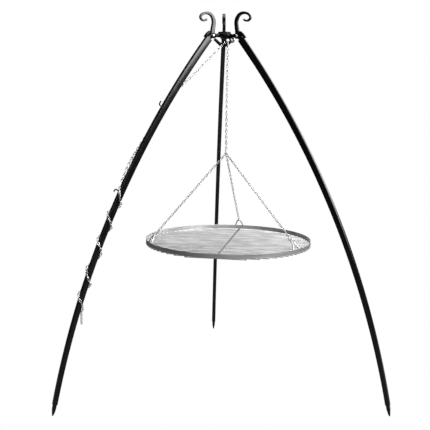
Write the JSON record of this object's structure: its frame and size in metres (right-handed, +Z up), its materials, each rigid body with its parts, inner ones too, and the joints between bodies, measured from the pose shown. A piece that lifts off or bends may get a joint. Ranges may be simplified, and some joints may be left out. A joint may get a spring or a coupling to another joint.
{
  "type": "campfire tripod grate",
  "caption": "Curved-leg campfire tripod with scroll tops, a hanging round rod grate and an adjusting chain wound on one leg.",
  "frame": {"origin": "on the ground under the crown, on the axis of the three legs, at equal distance from the three feet", "axes": "+Z up, +Y along the back leg, away from the two front legs, +X to the right leg's side"},
  "size_m": [1.5108, 1.3113, 1.7995],
  "materials": {
    "black_coating": "satin black coating on steel",
    "bright_zinc": "bright zinc plating",
    "stainless": "brushed stainless steel"
  },
  "bodies": {
    "crown": {"crown_hub": "black_coating", "stirrup": "black_coating", "stirrup_bolt": "bright_zinc", "stirrup_nut": "bright_zinc", "guide_eye": "black_coating", "hinge_bolt_back": "bright_zinc", "hinge_bolt_left": "bright_zinc", "hinge_bolt_right": "bright_zinc", "hinge_nut_back": "bright_zinc", "hinge_nut_left": "bright_zinc", "hinge_nut_right": "bright_zinc"},
    "leg_back": {"leg_tube_back": "black_coating", "scroll_foot_back": "black_coating", "foot_spike_back": "black_coating", "scroll_bar_back": "black_coating"},
    "leg_left": {"leg_tube_left": "black_coating", "scroll_foot_left": "black_coating", "foot_spike_left": "black_coating", "scroll_bar_left": "black_coating", "upper_hook": "black_coating", "lower_hook": "black_coating", "leg_chain_run": "bright_zinc", "wrapped_chain": "bright_zinc"},
    "leg_right": {"leg_tube_right": "black_coating", "scroll_foot_right": "black_coating", "foot_spike_right": "black_coating", "scroll_bar_right": "black_coating"},
    "shackle": {"hang_shackle": "bright_zinc"},
    "hoist": {"hoist_chain": "bright_zinc"},
    "junction": {"junction_ring": "bright_zinc"},
    "grate": {"grate_rim": "stainless", "grate_rods": "stainless", "bail_back": "stainless", "bail_left": "stainless", "bail_right": "stainless", "connector_back": "bright_zinc", "connector_left": "bright_zinc", "connector_right": "bright_zinc", "branch_chain_back": "bright_zinc", "branch_chain_left": "bright_zinc", "branch_chain_right": "bright_zinc"},
    "tail": {"chain_tail": "bright_zinc"}
  },
  "joints": [
    {"name": "fold_back", "type": "hinge", "parent": "crown", "child": "leg_back", "pos_m": [0, 0.0685, 1.686], "axis": [-1, 0, 0], "range_deg": [0, 6]},
    {"name": "fold_left", "type": "hinge", "parent": "crown", "child": "leg_left", "pos_m": [-0.05932, -0.03425, 1.686], "axis": [0.5, -0.866, 0], "range_deg": [0, 6]},
    {"name": "fold_right", "type": "hinge", "parent": "crown", "child": "leg_right", "pos_m": [0.05932, -0.03425, 1.686], "axis": [0.5, 0.866, 0], "range_deg": [0, 6]},
    {"name": "swing_sideways", "type": "hinge", "parent": "crown", "child": "shackle", "pos_m": [0.0165, 0, 1.668], "axis": [0, -1, 0], "range_deg": [-6, 6]},
    {"name": "swing_front_back", "type": "hinge", "parent": "shackle", "child": "hoist", "pos_m": [0.0165, 0, 1.6433], "axis": [1, 0, 0], "range_deg": [-6, 6]},
    {"name": "grate_height", "type": "slide", "parent": "hoist", "child": "junction", "axis": [0, 0, -1], "range_m": [-0.1, 0.12], "deforming": ["hoist_chain"]},
    {"name": "grate_spin", "type": "hinge", "parent": "junction", "child": "grate", "pos_m": [0.0165, 0, 1.148], "axis": [0, 0, 1], "range_deg": [-180, 180]},
    {"name": "tail_swing", "type": "hinge", "parent": "leg_left", "child": "tail", "pos_m": [-0.63634, -0.36615, 0.44621], "axis": [-0.866, -0.5, 0], "range_deg": [-20, 20]}
  ]
}
